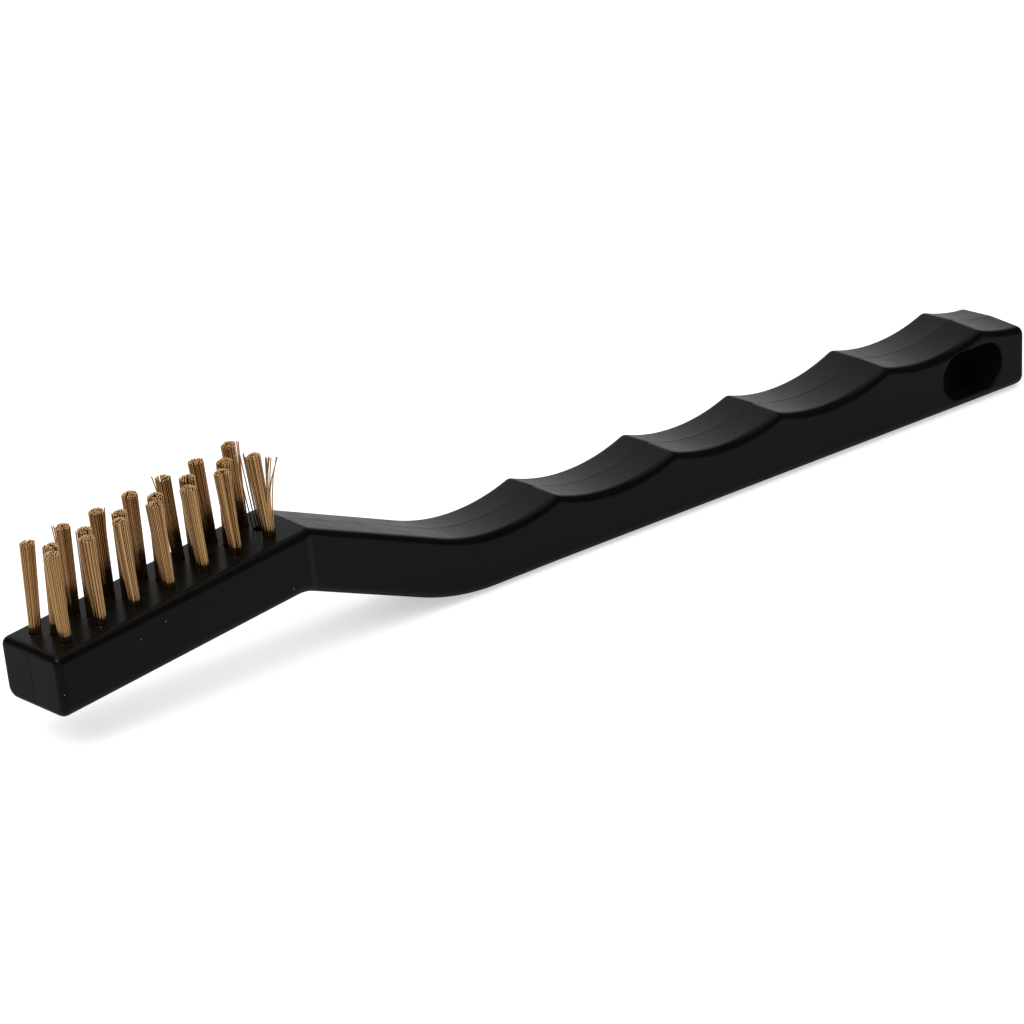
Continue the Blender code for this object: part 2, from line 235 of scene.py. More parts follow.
def new_finish(name):
    """A new material, its node tree and its Principled shader."""
    finish = bpy.data.materials.new(name)
    finish.use_nodes = True
    tree = finish.node_tree
    return finish, tree, tree.nodes["Principled BSDF"]


def add_node(tree, kind, **values):
    node = tree.nodes.new(kind)
    for name, value in values.items():
        setattr(node, name, value)
    return node


def math_node(tree, operation, first, second):
    """A Math node whose inputs are sockets or plain numbers."""
    node = add_node(tree, "ShaderNodeMath", operation=operation)
    for index, value in enumerate((first, second)):
        if isinstance(value, (int, float)):
            node.inputs[index].default_value = value
        else:
            tree.links.new(value, node.inputs[index])
    return node.outputs[0]


def object_noise(tree, scale, detail, stretch=(1, 1, 1), turn=0):
    """Noise that sits on the piece, drawn out along each axis by stretch and turned about Y."""
    where = add_node(tree, "ShaderNodeTexCoord")
    mapping = add_node(tree, "ShaderNodeMapping", vector_type="TEXTURE")
    mapping.inputs["Scale"].default_value = stretch
    mapping.inputs["Rotation"].default_value = (0, turn, 0)
    noise = add_node(tree, "ShaderNodeTexNoise")
    noise.inputs["Scale"].default_value = scale
    noise.inputs["Detail"].default_value = detail
    tree.links.new(where.outputs["Object"], mapping.inputs["Vector"])
    tree.links.new(mapping.outputs["Vector"], noise.inputs["Vector"])
    return noise.outputs["Fac"]


def spread_between(tree, noise, low, high):
    """Noise mapped onto the range from low to high."""
    node = add_node(tree, "ShaderNodeMapRange")
    node.inputs["From Min"].default_value = NOISE_LOW
    node.inputs["From Max"].default_value = NOISE_HIGH
    node.inputs["To Min"].default_value = low
    node.inputs["To Max"].default_value = high
    tree.links.new(noise, node.inputs["Value"])
    return node.outputs["Result"]


def colour_ramp(tree, value, stops):
    node = add_node(tree, "ShaderNodeValToRGB")
    ramp = node.color_ramp
    while len(ramp.elements) < len(stops):
        ramp.elements.new(1)
    for element, (place, colour) in zip(ramp.elements, stops):
        element.position = place
        element.color = (*colour, 1)
    tree.links.new(value, node.inputs["Fac"])
    return node.outputs["Color"]


def two_colours(tree, noise, dark, pale):
    """Two colours, blended by noise."""
    return colour_ramp(tree, noise, ((NOISE_LOW, dark), (NOISE_HIGH, pale)))


def bump(tree, height, strength, distance, below=None):
    node = add_node(tree, "ShaderNodeBump")
    node.inputs["Strength"].default_value = strength
    node.inputs["Distance"].default_value = distance
    tree.links.new(height, node.inputs["Height"])
    if below:
        tree.links.new(below, node.inputs["Normal"])
    return node.outputs["Normal"]


def dust_specks(tree):
    """1 on the few pale specks of dust that the wires leave on the head, and 0 elsewhere."""
    where = add_node(tree, "ShaderNodeTexCoord")
    cells = add_node(tree, "ShaderNodeTexVoronoi")
    cells.inputs["Scale"].default_value = DUST_CELLS
    tree.links.new(where.outputs["Object"], cells.inputs["Vector"])
    parts = add_node(tree, "ShaderNodeSeparateXYZ")
    tree.links.new(where.outputs["Object"], parts.inputs["Vector"])
    speck = math_node(tree, "LESS_THAN", cells.outputs["Distance"], DUST_REACH)
    on_head = math_node(tree, "LESS_THAN", parts.outputs["X"], KINK_X)
    return math_node(tree, "MULTIPLY", speck, on_head)


def inside_slot(tree):
    """1 on the walls of the hang slot, and 0 elsewhere."""
    where = add_node(tree, "ShaderNodeTexCoord")
    parts = add_node(tree, "ShaderNodeSeparateXYZ")
    tree.links.new(where.outputs["Object"], parts.inputs["Vector"])
    along = math_node(tree, "ABSOLUTE", math_node(tree, "SUBTRACT", parts.outputs["X"], SLOT_X), 0)
    past = math_node(tree, "SUBTRACT", along, SLOT_HALF_STRAIGHT)
    past = math_node(tree, "MAXIMUM", past, 0)
    rise = math_node(tree, "SUBTRACT", parts.outputs["Z"], SLOT_Z)
    past_square = math_node(tree, "POWER", past, 2)
    rise_square = math_node(tree, "MULTIPLY", rise, rise)
    reach = SLOT_HEIGHT / 2 + WALL_MARGIN
    return math_node(tree, "LESS_THAN", math_node(tree, "ADD", past_square, rise_square), reach**2)


def moulded_black_plastic():
    """Glossy black plastic with faint flow clouds, the fine texture of the mould and specks of dust. The
    slot's walls are rougher, and their lower specular is painted shade that darkens the deep slot."""
    finish, tree, shader = new_finish("moulded_black_plastic")
    clouds = object_noise(tree, **PLASTIC_CLOUDS)
    dusty = add_node(tree, "ShaderNodeMixRGB")
    tree.links.new(dust_specks(tree), dusty.inputs["Fac"])
    tree.links.new(two_colours(tree, clouds, PLASTIC_DARK, PLASTIC_PALE), dusty.inputs["Color1"])
    dusty.inputs["Color2"].default_value = (*DUST_COLOUR, 1)
    tree.links.new(dusty.outputs["Color"], shader.inputs["Base Color"])
    wear = object_noise(tree, **PLASTIC_WEAR)
    slot_wall = inside_slot(tree)
    dulling = math_node(tree, "MULTIPLY", slot_wall, SLOT_DULLING)
    roughness = math_node(tree, "ADD", spread_between(tree, wear, *PLASTIC_ROUGHNESS), dulling)
    tree.links.new(roughness, shader.inputs["Roughness"])
    # Lower specular on the slot's walls: painted shade that darkens the deep slot
    painted_shade = math_node(tree, "MULTIPLY", slot_wall, SLOT_PAINTED_SHADE)
    specular = math_node(tree, "SUBTRACT", PLASTIC_SPECULAR, painted_shade)
    tree.links.new(specular, shader.inputs["Specular IOR Level"])
    grain = object_noise(tree, **PLASTIC_GRAIN)
    swell = object_noise(tree, **PLASTIC_SWELL)
    fine = bump(tree, grain, **GRAIN_BUMP)
    tree.links.new(bump(tree, swell, below=fine, **SWELL_BUMP), shader.inputs["Normal"])
    return finish


def drawn_brass():
    """Bright drawn wire: each wire is a little lighter or darker, with faint streaks along it. The cut
    ends are paler and duller."""
    finish, tree, shader = new_finish("drawn_brass")
    tone = add_node(tree, "ShaderNodeAttribute", attribute_name="wire_tone").outputs["Fac"]
    tree.links.new(colour_ramp(tree, tone, BRASS_TONES), shader.inputs["Base Color"])
    streaks = object_noise(tree, **BRASS_STREAKS)
    cut = math_node(tree, "GREATER_THAN", tone, CUT_TONE_FROM)
    dulling = math_node(tree, "MULTIPLY", cut, CUT_DULLING)
    roughness = math_node(tree, "ADD", spread_between(tree, streaks, *BRASS_ROUGHNESS), dulling)
    tree.links.new(roughness, shader.inputs["Roughness"])
    tree.links.new(bump(tree, streaks, **STREAK_BUMP), shader.inputs["Normal"])
    shader.inputs["Metallic"].default_value = 1
    return finish


def anchor_metal():
    """Plain flat wire stock with faint lines along it."""
    finish, tree, shader = new_finish("anchor_metal")
    lines = object_noise(tree, **ANCHOR_LINES)
    tree.links.new(two_colours(tree, lines, ANCHOR_DARK, ANCHOR_PALE), shader.inputs["Base Color"])
    tree.links.new(spread_between(tree, lines, *ANCHOR_ROUGHNESS), shader.inputs["Roughness"])
    shader.inputs["Metallic"].default_value = 1
    return finish


# Modelling by hand

def start_piece(name):
    """Names the primitive that was just added and opens it for editing."""
    piece = bpy.context.object
    piece.name = name
    piece.data.name = name
    bpy.ops.object.mode_set(mode="EDIT")
    return piece


def deselect_objects():
    bpy.ops.object.select_all(action="DESELECT")


def edit_mesh(piece):
    return bmesh.from_edit_mesh(piece.data)


def select_faces(piece, wanted):
    """In edit mode, selects just the faces for which wanted(face) is true."""
    bpy.ops.mesh.select_mode(type="FACE")
    bpy.ops.mesh.select_all(action="DESELECT")
    mesh = edit_mesh(piece)
    for face in mesh.faces:
        if wanted(face):
            face.select_set(True)
    bmesh.update_edit_mesh(piece.data)


def select_edges(piece, wanted):
    bpy.ops.mesh.select_mode(type="EDGE")
    bpy.ops.mesh.select_all(action="DESELECT")
    mesh = edit_mesh(piece)
    for edge in mesh.edges:
        if wanted(edge):
            edge.select_set(True)
    bmesh.update_edit_mesh(piece.data)


def chosen_points(piece, wanted):
    """Numbers of the selected points for which wanted(place) is true."""
    mesh = edit_mesh(piece)
    mesh.verts.index_update()
    return {vert.index for vert in mesh.verts if vert.select and wanted(vert.co)}


def select_points(piece, numbers):
    bpy.ops.mesh.select_mode(type="VERT")
    bpy.ops.mesh.select_all(action="DESELECT")
    mesh = edit_mesh(piece)
    mesh.verts.ensure_lookup_table()
    for number in numbers:
        mesh.verts[number].select_set(True)
    mesh.select_flush(True)


def move_points(piece, numbers, move):
    """Moves just these of the selected points, and leaves all of them selected."""
    held = chosen_points(piece, lambda place: True)
    select_points(piece, numbers)
    bpy.ops.transform.translate(value=move)
    select_points(piece, held)
    bpy.ops.mesh.select_mode(type="FACE")


def apply_place():
    """Puts the new piece's place, turn and size into its mesh."""
    bpy.ops.object.transform_apply(location=True, rotation=True, scale=True)


def finish_piece():
    """Merges doubles of the piece in edit mode, turns its faces outwards and leaves edit mode."""
    bpy.ops.mesh.select_all(action="SELECT")
    bpy.ops.mesh.remove_doubles(threshold=MERGE_MARGIN)
    bpy.ops.mesh.normals_make_consistent(inside=False)
    bpy.ops.object.mode_set(mode="OBJECT")
    apply_place()


def cut_away(piece, cutter):
    """Cuts the cutter's shape out of the piece and removes the cutter."""
    deselect_objects()
    bpy.context.view_layer.objects.active = piece
    piece.select_set(True)
    boolean = piece.modifiers.new("cut", "BOOLEAN")
    boolean.operation = "DIFFERENCE"
    boolean.solver = "EXACT"
    boolean.object = cutter
    bpy.ops.object.modifier_apply(modifier="cut")
    bpy.data.objects.remove(cutter, do_unlink=True)


# The outline of the handle, seen from the side. Points are (x, height)

def crossing(left, left_tilt, right, right_tilt):
    """Where a line rising at left_tilt through left meets one rising at right_tilt through right."""
    left_slope = math.tan(left_tilt)
    right_slope = math.tan(right_tilt)
    x = (right.y - left.y + left_slope * left.x - right_slope * right.x) / (left_slope - right_slope)
    return Vector((x, left.y + left_slope * (x - left.x)))


def rounded_corner(corner, left_tilt, right_tilt, radius):
    """(start x, end x, height at x) of the arc that rounds a corner of the underside."""
    turn = right_tilt - left_tilt
    side = math.copysign(1, turn)
    reach = radius * math.tan(abs(turn) / 2)
    start = corner - reach * Vector((math.cos(left_tilt), math.sin(left_tilt)))
    centre = start + side * radius * Vector((-math.sin(left_tilt), math.cos(left_tilt)))
    end_x = corner.x + reach * math.cos(right_tilt)
    return start.x, end_x, lambda x: centre.y - side * math.sqrt(radius**2 - (x - centre.x) ** 2)


HEAD_LEAN = HEAD_THICKNESS * math.sin(HEAD_TILT)
HEAD_UNDER = Vector((KINK_X, KINK_HEIGHT - HEAD_THICKNESS / math.cos(HEAD_TILT)))
NECK_UNDER = Vector((KINK_X, NECK_UNDER_HEIGHT))
NOTCH_CORNER = crossing(HEAD_UNDER, HEAD_TILT, NECK_UNDER, -NECK_UNDER_TILT)
NOTCH = rounded_corner(NOTCH_CORNER, HEAD_TILT, -NECK_UNDER_TILT, NOTCH_RADIUS)
ELBOW_CORNER = crossing(NECK_UNDER, -NECK_UNDER_TILT, Vector((0, 0)), 0)
ELBOW = rounded_corner(ELBOW_CORNER, -NECK_UNDER_TILT, 0, ELBOW_RADIUS)


def under_height(x):
    for start, end, height in (NOTCH, ELBOW):
        if start <= x <= end:
            return height(x)
    if x < NOTCH[0]:
        return HEAD_UNDER.y + (x - KINK_X) * math.tan(HEAD_TILT)
    if x < ELBOW[0]:
        return NECK_UNDER.y - (x - KINK_X) * math.tan(NECK_UNDER_TILT)
    return 0


def sloping_top(x):
    """The head's and the neck's straight tops."""
    tilt = HEAD_TILT if x < KINK_X else -NECK_TILT
    return Vector((x, KINK_HEIGHT + (x - KINK_X) * math.tan(tilt)))


def hollow_centres():
    """Centres of the thumb rest's and the finger hollows' circles."""
    drop = KINK_HEIGHT - THUMB_FLOOR - HOLLOW_RADIUS * (1 - math.cos(NECK_TILT))
    thumb_x = KINK_X + drop / math.tan(NECK_TILT) + HOLLOW_RADIUS * math.sin(NECK_TILT)
    places = (thumb_x, *FINGER_PLACES)
    floors = (THUMB_FLOOR, *FINGER_FLOORS)
    return [Vector((x, floor + HOLLOW_RADIUS)) for x, floor in zip(places, floors)]


def crest_centre(left, right):
    """Centre of the small round that joins two hollows."""
    half = (right - left) / 2
    fall = math.sqrt((HOLLOW_RADIUS + CREST_RADIUS) ** 2 - half.length_squared)
    return left + half + fall * Vector((half.y, -half.x)).normalized()


def swing(centre, point):
    """Angle of point about centre, from straight down, positive toward the tail."""
    return math.atan2(point.x - centre.x, centre.y - point.y)


def arc(centre, radius, start, end, steps):
    angles = [start + (end - start) * step / steps for step in range(steps + 1)]
    return [centre + radius * Vector((math.sin(angle), -math.cos(angle))) for angle in angles]


def grip_top():
    """Points of the grip's top line, from the end of the neck to the tail."""
    centres = hollow_centres()
    points = []
    start = -NECK_TILT
    for left, right in zip(centres, centres[1:]):
        crest = crest_centre(left, right)
        end = swing(left, crest)
        points += arc(left, HOLLOW_RADIUS, start, end, HOLLOW_STEPS)
        start = swing(right, crest)
        points += arc(crest, CREST_RADIUS, end + math.pi, start + math.pi, CREST_STEPS)[1:-1]
    last = centres[-1]
    end = math.asin((TAIL_X - last.x) / HOLLOW_RADIUS)
    points += arc(last, HOLLOW_RADIUS, start, end, HOLLOW_STEPS // 2)
    return [point for point in points if point.x < TAIL_X - TAIL_CLEARANCE] + points[-1:]


def blend(low, high, share):
    return low + (high - low) * share


def half_width(x):
    """Half of the handle's width at top point x, narrowing over the short shoulder before the kink."""
    if x <= SHOULDER_X:
        return HEAD_WIDTH / 2
    if x <= KINK_X:
        return blend(HEAD_WIDTH, NECK_WIDTH, (x - SHOULDER_X) / (KINK_X - SHOULDER_X)) / 2
    if x <= WAIST_X:
        return blend(NECK_WIDTH, WAIST_WIDTH, (x - KINK_X) / (WAIST_X - KINK_X)) / 2
    return blend(WAIST_WIDTH, TAIL_WIDTH, (x - WAIST_X) / (TAIL_X - WAIST_X)) / 2


def crown_height(x):
    """Height of the crown at the middle of the top, which rises toward the tail."""
    return blend(CROWN, TAIL_CROWN, max(0, 1 - (TAIL_X - x) / CROWN_RISE_RUN))


def even_steps(start, end, steps):
    """Places from start to end, without the first."""
    return [start + (end - start) * step / steps for step in range(1, steps + 1)]


def tilted_section(x):
    """(top, underside, half width) of a section square to the head's top."""
    under_x = x + HEAD_LEAN
    return sloping_top(x), Vector((under_x, under_height(under_x))), half_width(x)


def upright_section(top):
    return top, Vector((top.x, under_height(top.x))), half_width(top.x)


def head_sections():
    """The sections after the tip's, square to the head, up to the kink."""
    bend = NOTCH[0] - HEAD_LEAN
    start = SHOULDER_X - CREASE_RUN
    end = KINK_X - CREASE_RUN
    notch = even_steps(bend, start, NOTCH_STEPS)
    shoulder = even_steps(start, end, SHOULDER_STEPS)
    places = {bend, *notch, *shoulder, SHOULDER_X, SHOULDER_X + CREASE_RUN, KINK_X}
    return [tilted_section(x) for x in sorted(places)]


def grip_sections():
    """The upright sections from the neck to the tail."""
    grip = grip_top()
    start = KINK_X + 2 * HEAD_LEAN
    neck = even_steps(start, ELBOW[0], NECK_STEPS)
    elbow = even_steps(ELBOW[0], grip[0].x, ELBOW_STEPS)[:-1]
    tops = [sloping_top(x) for x in (start, *neck, *elbow)] + grip
    return [upright_section(top) for top in tops]


# The handle

def tip_section():
    """The rounded outline of the head's end, square to the head, with the crown at its middle."""
    deselect_objects()
    top, under, _ = tilted_section(TIP_X)
    middle = (top + under) / 2
    bpy.ops.mesh.primitive_plane_add(
        size=1, location=(middle.x, 0, middle.y), rotation=(0, -math.pi / 2 - HEAD_TILT, 0)
    )
    bpy.context.object.scale = (HEAD_THICKNESS, HEAD_WIDTH, 1)
    apply_place()
    piece = start_piece("moulded_handle")
    for radius, side in ((EDGE_RADIUS, 1), (LOWER_EDGE_RADIUS, -1)):
        bpy.ops.mesh.select_all(action="SELECT")
        select_points(piece, chosen_points(piece, lambda p: side * (p.z - middle.y) > 0))
        bpy.ops.mesh.bevel(offset=radius, segments=EDGE_STEPS, affect="VERTICES")
    bpy.ops.mesh.select_all(action="SELECT")
    bpy.ops.mesh.bisect(plane_co=(0, 0, 0), plane_no=(0, 1, 0))
    bpy.ops.mesh.select_all(action="SELECT")
    crown = chosen_points(piece, lambda p: abs(p.y) < EDGE_RADIUS and p.z > middle.y)
    move_points(piece, crown, (0, 0, CROWN))
    return piece


def extrude_by(move):
    bpy.ops.mesh.extrude_region_move(TRANSFORM_OT_translate={"value": move})


def reshape_end(piece, before, after):
    """Moves the open end's top, underside, two sides and crown, each as a whole, from one section's
    (top, underside, half width) to the next's."""
    top, under, half = before
    new_top, new_under, new_half = after
    middle = (top.y + under.y) / 2
    crown_rise = crown_height(new_top.x) - crown_height(top.x)
    groups = (
        (lambda p: p.z > middle, (new_top.x - top.x, 0, new_top.y - top.y)),
        (lambda p: p.z < middle, (new_under.x - under.x, 0, new_under.y - under.y)),
        (lambda p: p.y > EDGE_RADIUS, (0, new_half - half, 0)),
        (lambda p: p.y < -EDGE_RADIUS, (0, half - new_half, 0)),
        (lambda p: abs(p.y) < EDGE_RADIUS and p.z > middle, (0, 0, crown_rise)),
    )
    chosen = [(chosen_points(piece, wanted), move) for wanted, move in groups]
    for points, move in chosen:
        move_points(piece, points, move)


def next_section(piece, before, after):
    extrude_by((0, 0, 0))
    reshape_end(piece, before, after)


def stand_upright(piece, before, after):
    """Extrudes the tilted open end to the first upright section: flattened there, then reshaped."""
    extrude_by((0, 0, 0))
    top, under, half = before
    x = after[0].x
    bpy.ops.transform.resize(value=(0, 1, 1), center_override=(x, 0, 0))
    reshape_end(piece, (Vector((x, top.y)), Vector((x, under.y)), half), after)


def round_end(piece, wanted, radius):
    """Rounds the rim of an end face."""
    select_faces(piece, wanted)
    bpy.ops.mesh.dissolve_faces()
    bpy.ops.mesh.region_to_loop()
    bpy.ops.mesh.bevel(offset=radius, segments=END_STEPS, affect="EDGES")


def press_seam(piece):
    """The fine line along the middle that the two halves of the mould leave."""
    bpy.ops.mesh.select_all(action="SELECT")
    bpy.ops.mesh.normals_make_consistent(inside=False)
    for across in (-SEAM_HALF_WIDTH, 0, SEAM_HALF_WIDTH):
        bpy.ops.mesh.select_mode(type="FACE")
        bpy.ops.mesh.select_all(action="SELECT")
        bpy.ops.mesh.bisect(plane_co=(0, across, 0), plane_no=(0, 1, 0))
    bpy.ops.mesh.select_all(action="SELECT")
    select_points(piece, chosen_points(piece, lambda place: abs(place.y) < SEAM_HALF_WIDTH / 2))
    bpy.ops.transform.shrink_fatten(value=-SEAM_DEPTH)


def slot_cutter():
    """A bar through the tail with half-round ends."""
    deselect_objects()
    bpy.ops.mesh.primitive_cylinder_add(
        vertices=SLOT_SIDES, radius=SLOT_HEIGHT / 2, depth=CUTTER_DEPTH,
        location=(SLOT_X, 0, SLOT_Z), rotation=(math.pi / 2, 0, 0),
    )
    apply_place()
    cutter = start_piece("slot_cutter")
    for side in (-1, 1):
        bpy.ops.mesh.select_all(action="SELECT")
        end = chosen_points(cutter, lambda p: side * (p.x - SLOT_X) > 0)
        move_points(cutter, end, (side * SLOT_HALF_STRAIGHT, 0, 0))
    finish_piece()
    return cutter


def head_place(reach, across, height):
    """A point in the row frame, from a place on the head's top and a height square to it."""
    along = Vector((-math.cos(HEAD_TILT), 0, -math.sin(HEAD_TILT)))
    square = Vector((-math.sin(HEAD_TILT), 0, math.cos(HEAD_TILT)))
    return Vector((KINK_X, 0, KINK_HEIGHT)) + along * reach + Vector((0, across, 0)) + square * height


def hole_cutters():
    """One object of round bars, one for each tuft's hole."""
    deselect_objects()
    bars = []
    for row, across in ROW_ACROSS.items():
        for reach in BASE_REACH[row]:
            bpy.ops.mesh.primitive_cylinder_add(
                vertices=HOLE_SIDES, radius=HOLE_RADIUS, depth=2 * HOLE_DEPTH,
                location=head_place(reach, across, 0), rotation=(0, -HEAD_TILT, 0),
            )
            bars.append(bpy.context.object)
    for bar in bars:
        bar.select_set(True)
    bpy.ops.object.join()
    return bpy.context.object


def soften_slot_rim(piece):
    """A small round on the slot's two rims."""

    def on_outline(vert):
        outward = Vector((max(abs(vert.co.x - SLOT_X) - SLOT_HALF_STRAIGHT, 0), vert.co.z - SLOT_Z))
        on_wall = abs(outward.length - SLOT_HEIGHT / 2) < OUTLINE_MARGIN
        return on_wall and abs(vert.co.y) > HEAD_WIDTH / 2 - EDGE_RADIUS

    def on_rim(edge):
        start, end = edge.verts
        return on_outline(start) and on_outline(end) and abs(start.co.y - end.co.y) < RIM_SLANT

    bpy.ops.object.mode_set(mode="EDIT")
    select_edges(piece, on_rim)
    bpy.ops.mesh.bevel(offset=RIM_RADIUS, segments=RIM_STEPS, affect="EDGES")
    bpy.ops.object.mode_set(mode="OBJECT")


def make_handle():
    piece = tip_section()
    before = tilted_section(TIP_X)
    for section in head_sections():
        next_section(piece, before, section)
        before = section
    neck, *grip = grip_sections()
    stand_upright(piece, before, neck)
    before = neck
    for section in grip:
        next_section(piece, before, section)
        before = section
    round_end(piece, lambda f: all(abs(v.co.x - TAIL_X) < END_MARGIN for v in f.verts), TAIL_RADIUS)
    tip = head_place((KINK_X - TIP_X) / math.cos(HEAD_TILT), 0, 0)
    along = head_place(1, 0, 0) - head_place(0, 0, 0)
    round_end(piece, lambda f: all(abs((v.co - tip).dot(along)) < END_MARGIN for v in f.verts), TIP_RADIUS)
    press_seam(piece)
    finish_piece()
    cut_away(piece, slot_cutter())
    cut_away(piece, hole_cutters())
    soften_slot_rim(piece)
    bpy.ops.object.shade_smooth_by_angle(angle=SMOOTH_ANGLE)
    weigh = piece.modifiers.new("even_normals", "WEIGHTED_NORMAL")
    weigh.keep_sharp = True
    bpy.ops.object.modifier_apply(modifier="even_normals")
    piece.data.materials.append(moulded_black_plastic())
    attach(piece, "root")
    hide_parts("handle")


# The tufts

def model_wire():
    """One straight wire with a cut end, standing on the origin. It is 1 high, and make_tuft gives each copy
    its own height."""
    deselect_objects()
    bpy.ops.mesh.primitive_circle_add(vertices=WIRE_SIDES, radius=WIRE_RADIUS, fill_type="NGON")
    wire = start_piece("wire")
    bpy.ops.mesh.select_all(action="SELECT")
    bpy.ops.mesh.select_mode(type="FACE")
    for step in WIRE_STEPS:
        extrude_by((0, 0, step))
    bpy.ops.transform.resize(value=(WIRE_END_WIDTH, WIRE_END_WIDTH, 1))
    finish_piece()
    return wire


def packed_places():
    """Places of the wires in a bundle, evenly close but in no straight rows."""
    places = []
    for index in range(WIRE_COUNT):
        out = BUNDLE_RADIUS * math.sqrt((index + 0.5) / WIRE_COUNT)
        angle = index * WIRE_TURN
        places.append(Vector((out * math.cos(angle), out * math.sin(angle))))
    return places


def scattered(dice, reach):
    return Vector((dice.uniform(-reach, reach), dice.uniform(-reach, reach)))


def wire_routes(row, number, dice):
    """(foot, top, height, bend) of each wire of a tuft, in the head's own frame. Toward the cut the wires
    gather in a few clumps."""
    base = Vector((-BASE_REACH[row][number], ROW_ACROSS[row]))
    top = Vector((-TOP_REACH[row][number], TOP_ACROSS[row][number]))
    clumps = [scattered(dice, BUNDLE_RADIUS) for _ in range(CLUMPS)]
    routes = []
    for place in packed_places():
        foot = place + scattered(dice, WIRE_SCATTER)
        clump = min(clumps, key=lambda middle: (middle - foot).length)
        end = foot * TOP_SPREAD + (clump - foot) * CLUMP_PULL + scattered(dice, WIRE_SCATTER)
        rounding = TRIM_ROUNDING * (foot.length / BUNDLE_RADIUS) ** 2
        height = TRIM_HEIGHT - rounding + dice.gauss(0, HEIGHT_SCATTER)
        foot += (clump - foot) * FOOT_PULL
        routes.append((base + foot, top + end, height, 1))
    if (row, number) == SPARSE_TUFT:
        return routes[::SPARSE_STEP]
    upright = list(range(len(routes)))
    for reach, across in LOOSE_TOPS.get((row, number), ()):
        loose_top = Vector((-reach, across))
        nearest = min(upright, key=lambda index: (routes[index][0] - loose_top).length)
        upright.remove(nearest)
        foot, _, height, _ = routes[nearest]
        routes[nearest] = (foot, loose_top, height, LOOSE_BEND)
    return routes


def make_tuft(row, number, wire, finish):
    """One tuft of wires, each from half its hole's depth to its top, bent and with a tone of its own."""
    dice = random.Random(SEED_STEP * list(ROW_ACROSS).index(row) + number)
    name = f"wires_{row}_{number + 1}"
    mesh = bmesh.new()
    tones = []
    for foot, end, height, bend in wire_routes(row, number, dice):
        first = len(mesh.verts)
        mesh.from_mesh(wire.data)
        mesh.verts.ensure_lookup_table()
        tone = min(TONE_LIMIT, max(0, dice.gauss(TONE_MIDDLE, TONE_SCATTER)))
        for vert in mesh.verts[first:]:
            share = vert.co.z
            along = foot.lerp(end, share**bend) + vert.co.xy
            level = -HOLE_DEPTH / 2 + (height + HOLE_DEPTH / 2) * share
            vert.co = head_place(-along.x, along.y, level)
            tones.append(CUT_TONE if share > 1 - WIRE_END else tone)
    data = bpy.data.meshes.new(name)
    mesh.to_mesh(data)
    mesh.free()
    attribute = data.attributes.new("wire_tone", "FLOAT", "POINT")
    attribute.data.foreach_set("value", tones)
    tuft = bpy.data.objects.new(name, data)
    bpy.context.scene.collection.objects.link(tuft)
    deselect_objects()
    tuft.select_set(True)
    bpy.context.view_layer.objects.active = tuft
    bpy.ops.object.shade_smooth_by_angle(angle=WIRE_SMOOTH_ANGLE)
    data.materials.append(finish)
    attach(tuft, "root")
    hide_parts(f"tuft_{row}_{number + 1}")


def make_tufts():
    finish = drawn_brass()
    wire = model_wire()
    for row in ROW_ACROSS:
        for number in range(len(BASE_REACH[row])):
            make_tuft(row, number, wire, finish)
    bpy.data.objects.remove(wire, do_unlink=True)


def dress_anchors():
    finish = anchor_metal()
    for name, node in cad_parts.items():
        if name.startswith("anchor"):
            node.data.materials.clear()
            node.data.materials.append(finish)


# The studio

def seen_rays(tree):
    """(camera rays, rays reflected or let through) as two masks."""
    path = add_node(tree, "ShaderNodeLightPath")
    through = math_node(tree, "MAXIMUM", path.outputs["Is Glossy Ray"], path.outputs["Is Transmission Ray"])
    return path.outputs["Is Camera Ray"], through


def fade_in(tree, value, fade):
    """0 up to the fade's first value, 1 past its second, and a smooth rise between them."""
    node = add_node(tree, "ShaderNodeMapRange", interpolation_type="SMOOTHSTEP")
    node.inputs["From Min"].default_value, node.inputs["From Max"].default_value = fade
    tree.links.new(value, node.inputs["Value"])
    return node.outputs["Result"]


def make_floor():
    """A pale floor that keeps the brush's shadow and is white where the camera looks at it."""
    deselect_objects()
    bpy.ops.mesh.primitive_plane_add(size=FLOOR_SIZE, location=(0, 0, -FLOOR_DROP))
    floor = bpy.context.object
    floor.name = "floor"
    finish, tree, shader = new_finish("white_floor")
    camera, through = seen_rays(tree)
    dimming = math_node(tree, "MULTIPLY", through, FLOOR_DIMMING)
    tree.links.new(math_node(tree, "SUBTRACT", FLOOR_PALENESS, dimming), shader.inputs["Base Color"])
    shader.inputs["Roughness"].default_value = FLOOR_ROUGHNESS
    shader.inputs["Specular IOR Level"].default_value = FLOOR_SPECULAR
    glow = add_node(tree, "ShaderNodeEmission")
    tree.links.new(math_node(tree, "MULTIPLY", camera, FLOOR_GLOW), glow.inputs["Strength"])
    both = add_node(tree, "ShaderNodeAddShader")
    tree.links.new(shader.outputs[0], both.inputs[0])
    tree.links.new(glow.outputs[0], both.inputs[1])
    tree.links.new(both.outputs[0], tree.nodes["Material Output"].inputs["Surface"])
    floor.data.materials.append(finish)


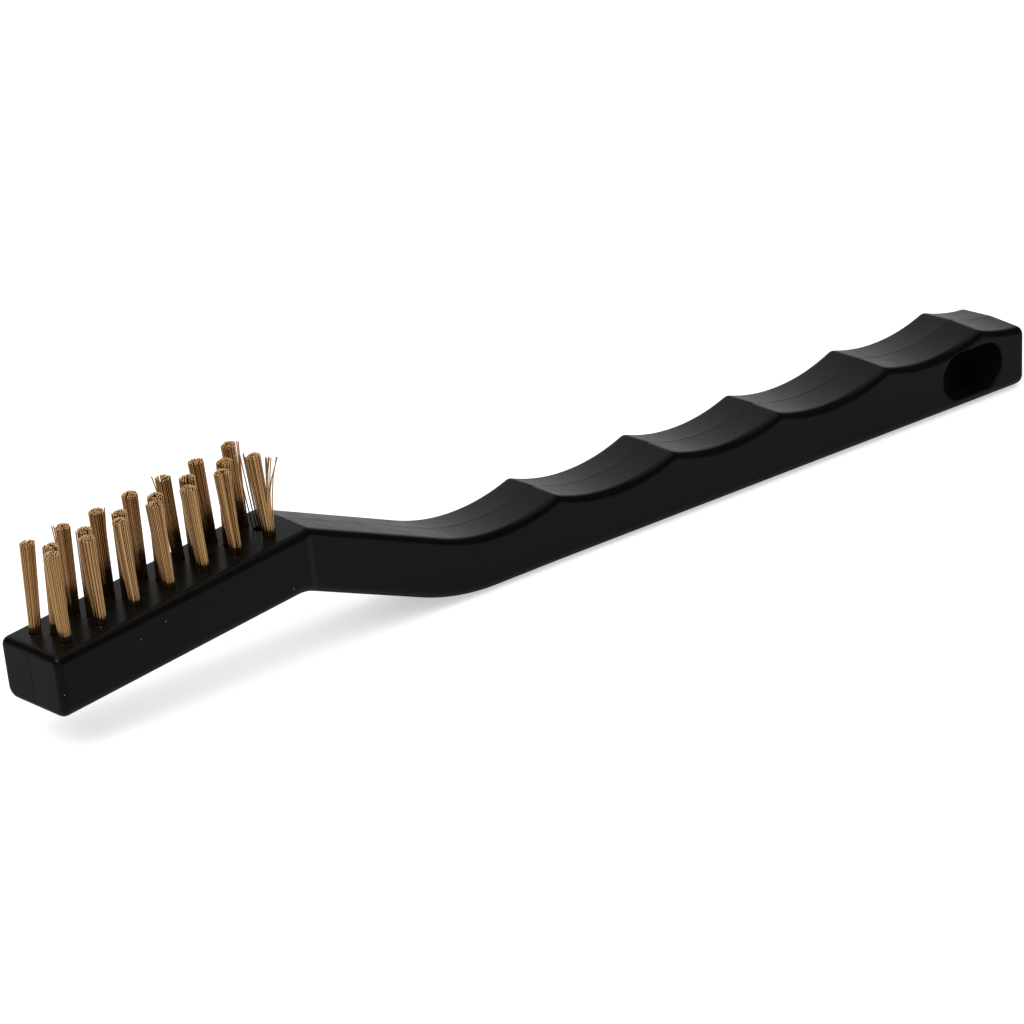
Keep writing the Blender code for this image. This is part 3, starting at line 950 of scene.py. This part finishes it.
def make_world():
    """White where the camera looks at it, and WORLD_LIGHT as light. In reflections it is a dark room with a
    pale backdrop behind the tail, a pale ceiling and a pale wall before the head."""
    world = bpy.data.worlds.new("studio")
    bpy.context.scene.world = world
    world.use_nodes = True
    tree = world.node_tree
    camera, through = seen_rays(tree)
    where = add_node(tree, "ShaderNodeTexCoord")
    parts = add_node(tree, "ShaderNodeSeparateXYZ")
    tree.links.new(where.outputs["Generated"], parts.inputs["Vector"])
    behind = fade_in(tree, parts.outputs["Y"], BACKDROP_FADE_Y)
    tailward = fade_in(tree, parts.outputs["X"], BACKDROP_FADE_X)
    backdrop = math_node(tree, "MULTIPLY", math_node(tree, "MULTIPLY", behind, tailward), BACKDROP_LEVEL)
    before = fade_in(tree, parts.outputs["Y"], FRONT_FADE_Y)
    tipward = fade_in(tree, parts.outputs["X"], FRONT_FADE_X)
    front = math_node(tree, "MULTIPLY", math_node(tree, "MULTIPLY", before, tipward), FRONT_LEVEL)
    above = fade_in(tree, parts.outputs["Z"], CEILING_FADE_Z)
    ceiling = math_node(tree, "MULTIPLY", above, CEILING_LEVEL)
    room = ROOM_LEVEL
    for wall in (backdrop, front, ceiling):
        room = math_node(tree, "ADD", wall, room)
    reflected = math_node(tree, "MULTIPLY", through, room)
    lighting = math_node(tree, "MULTIPLY", math_node(tree, "SUBTRACT", 1, through), WORLD_LIGHT)
    other = math_node(tree, "ADD", reflected, lighting)
    level = math_node(tree, "MAXIMUM", camera, other)
    tree.links.new(level, tree.nodes["Background"].inputs["Strength"])
    tree.nodes["Background"].inputs["Color"].default_value = (1, 1, 1, 1)


def direction(azimuth, elevation):
    """The way from the brush to a lamp or a camera."""
    return Vector((
        math.sin(azimuth) * math.cos(elevation),
        -math.cos(azimuth) * math.cos(elevation),
        math.sin(elevation),
    ))


def make_lamp():
    """A square soft lamp that looks at the brush."""
    way = direction(LAMP_AZIMUTH, LAMP_ELEVATION)
    lamp = bpy.data.lights.new("key_lamp", "AREA")
    lamp.energy = LAMP_POWER
    lamp.size = LAMP_SIZE
    holder = bpy.data.objects.new("key_lamp", lamp)
    holder.location = way * LAMP_DISTANCE
    holder.rotation_euler = way.to_track_quat("Z", "Y").to_euler()
    bpy.context.scene.collection.objects.link(holder)


def make_camera():
    back = direction(CAMERA_AZIMUTH, CAMERA_ELEVATION)
    level = Vector((math.cos(CAMERA_AZIMUTH), math.sin(CAMERA_AZIMUTH), 0))
    upright = back.cross(level)
    right = level * math.cos(CAMERA_ROLL) + upright * math.sin(CAMERA_ROLL)
    up = upright * math.cos(CAMERA_ROLL) - level * math.sin(CAMERA_ROLL)
    data = bpy.data.cameras.new("camera")
    data.lens = CAMERA_LENS
    data.sensor_width = CAMERA_SENSOR
    camera = bpy.data.objects.new("camera", data)
    turn = Matrix((right, up, back)).transposed().to_4x4()
    camera.matrix_world = Matrix.Translation(CAMERA_TARGET + back * CAMERA_DISTANCE) @ turn
    bpy.context.scene.collection.objects.link(camera)
    bpy.context.scene.camera = camera


def set_view():
    bpy.context.scene.view_settings.view_transform = "Standard"


make_handle()
make_tufts()
dress_anchors()
make_floor()
make_world()
make_lamp()
make_camera()
set_view()
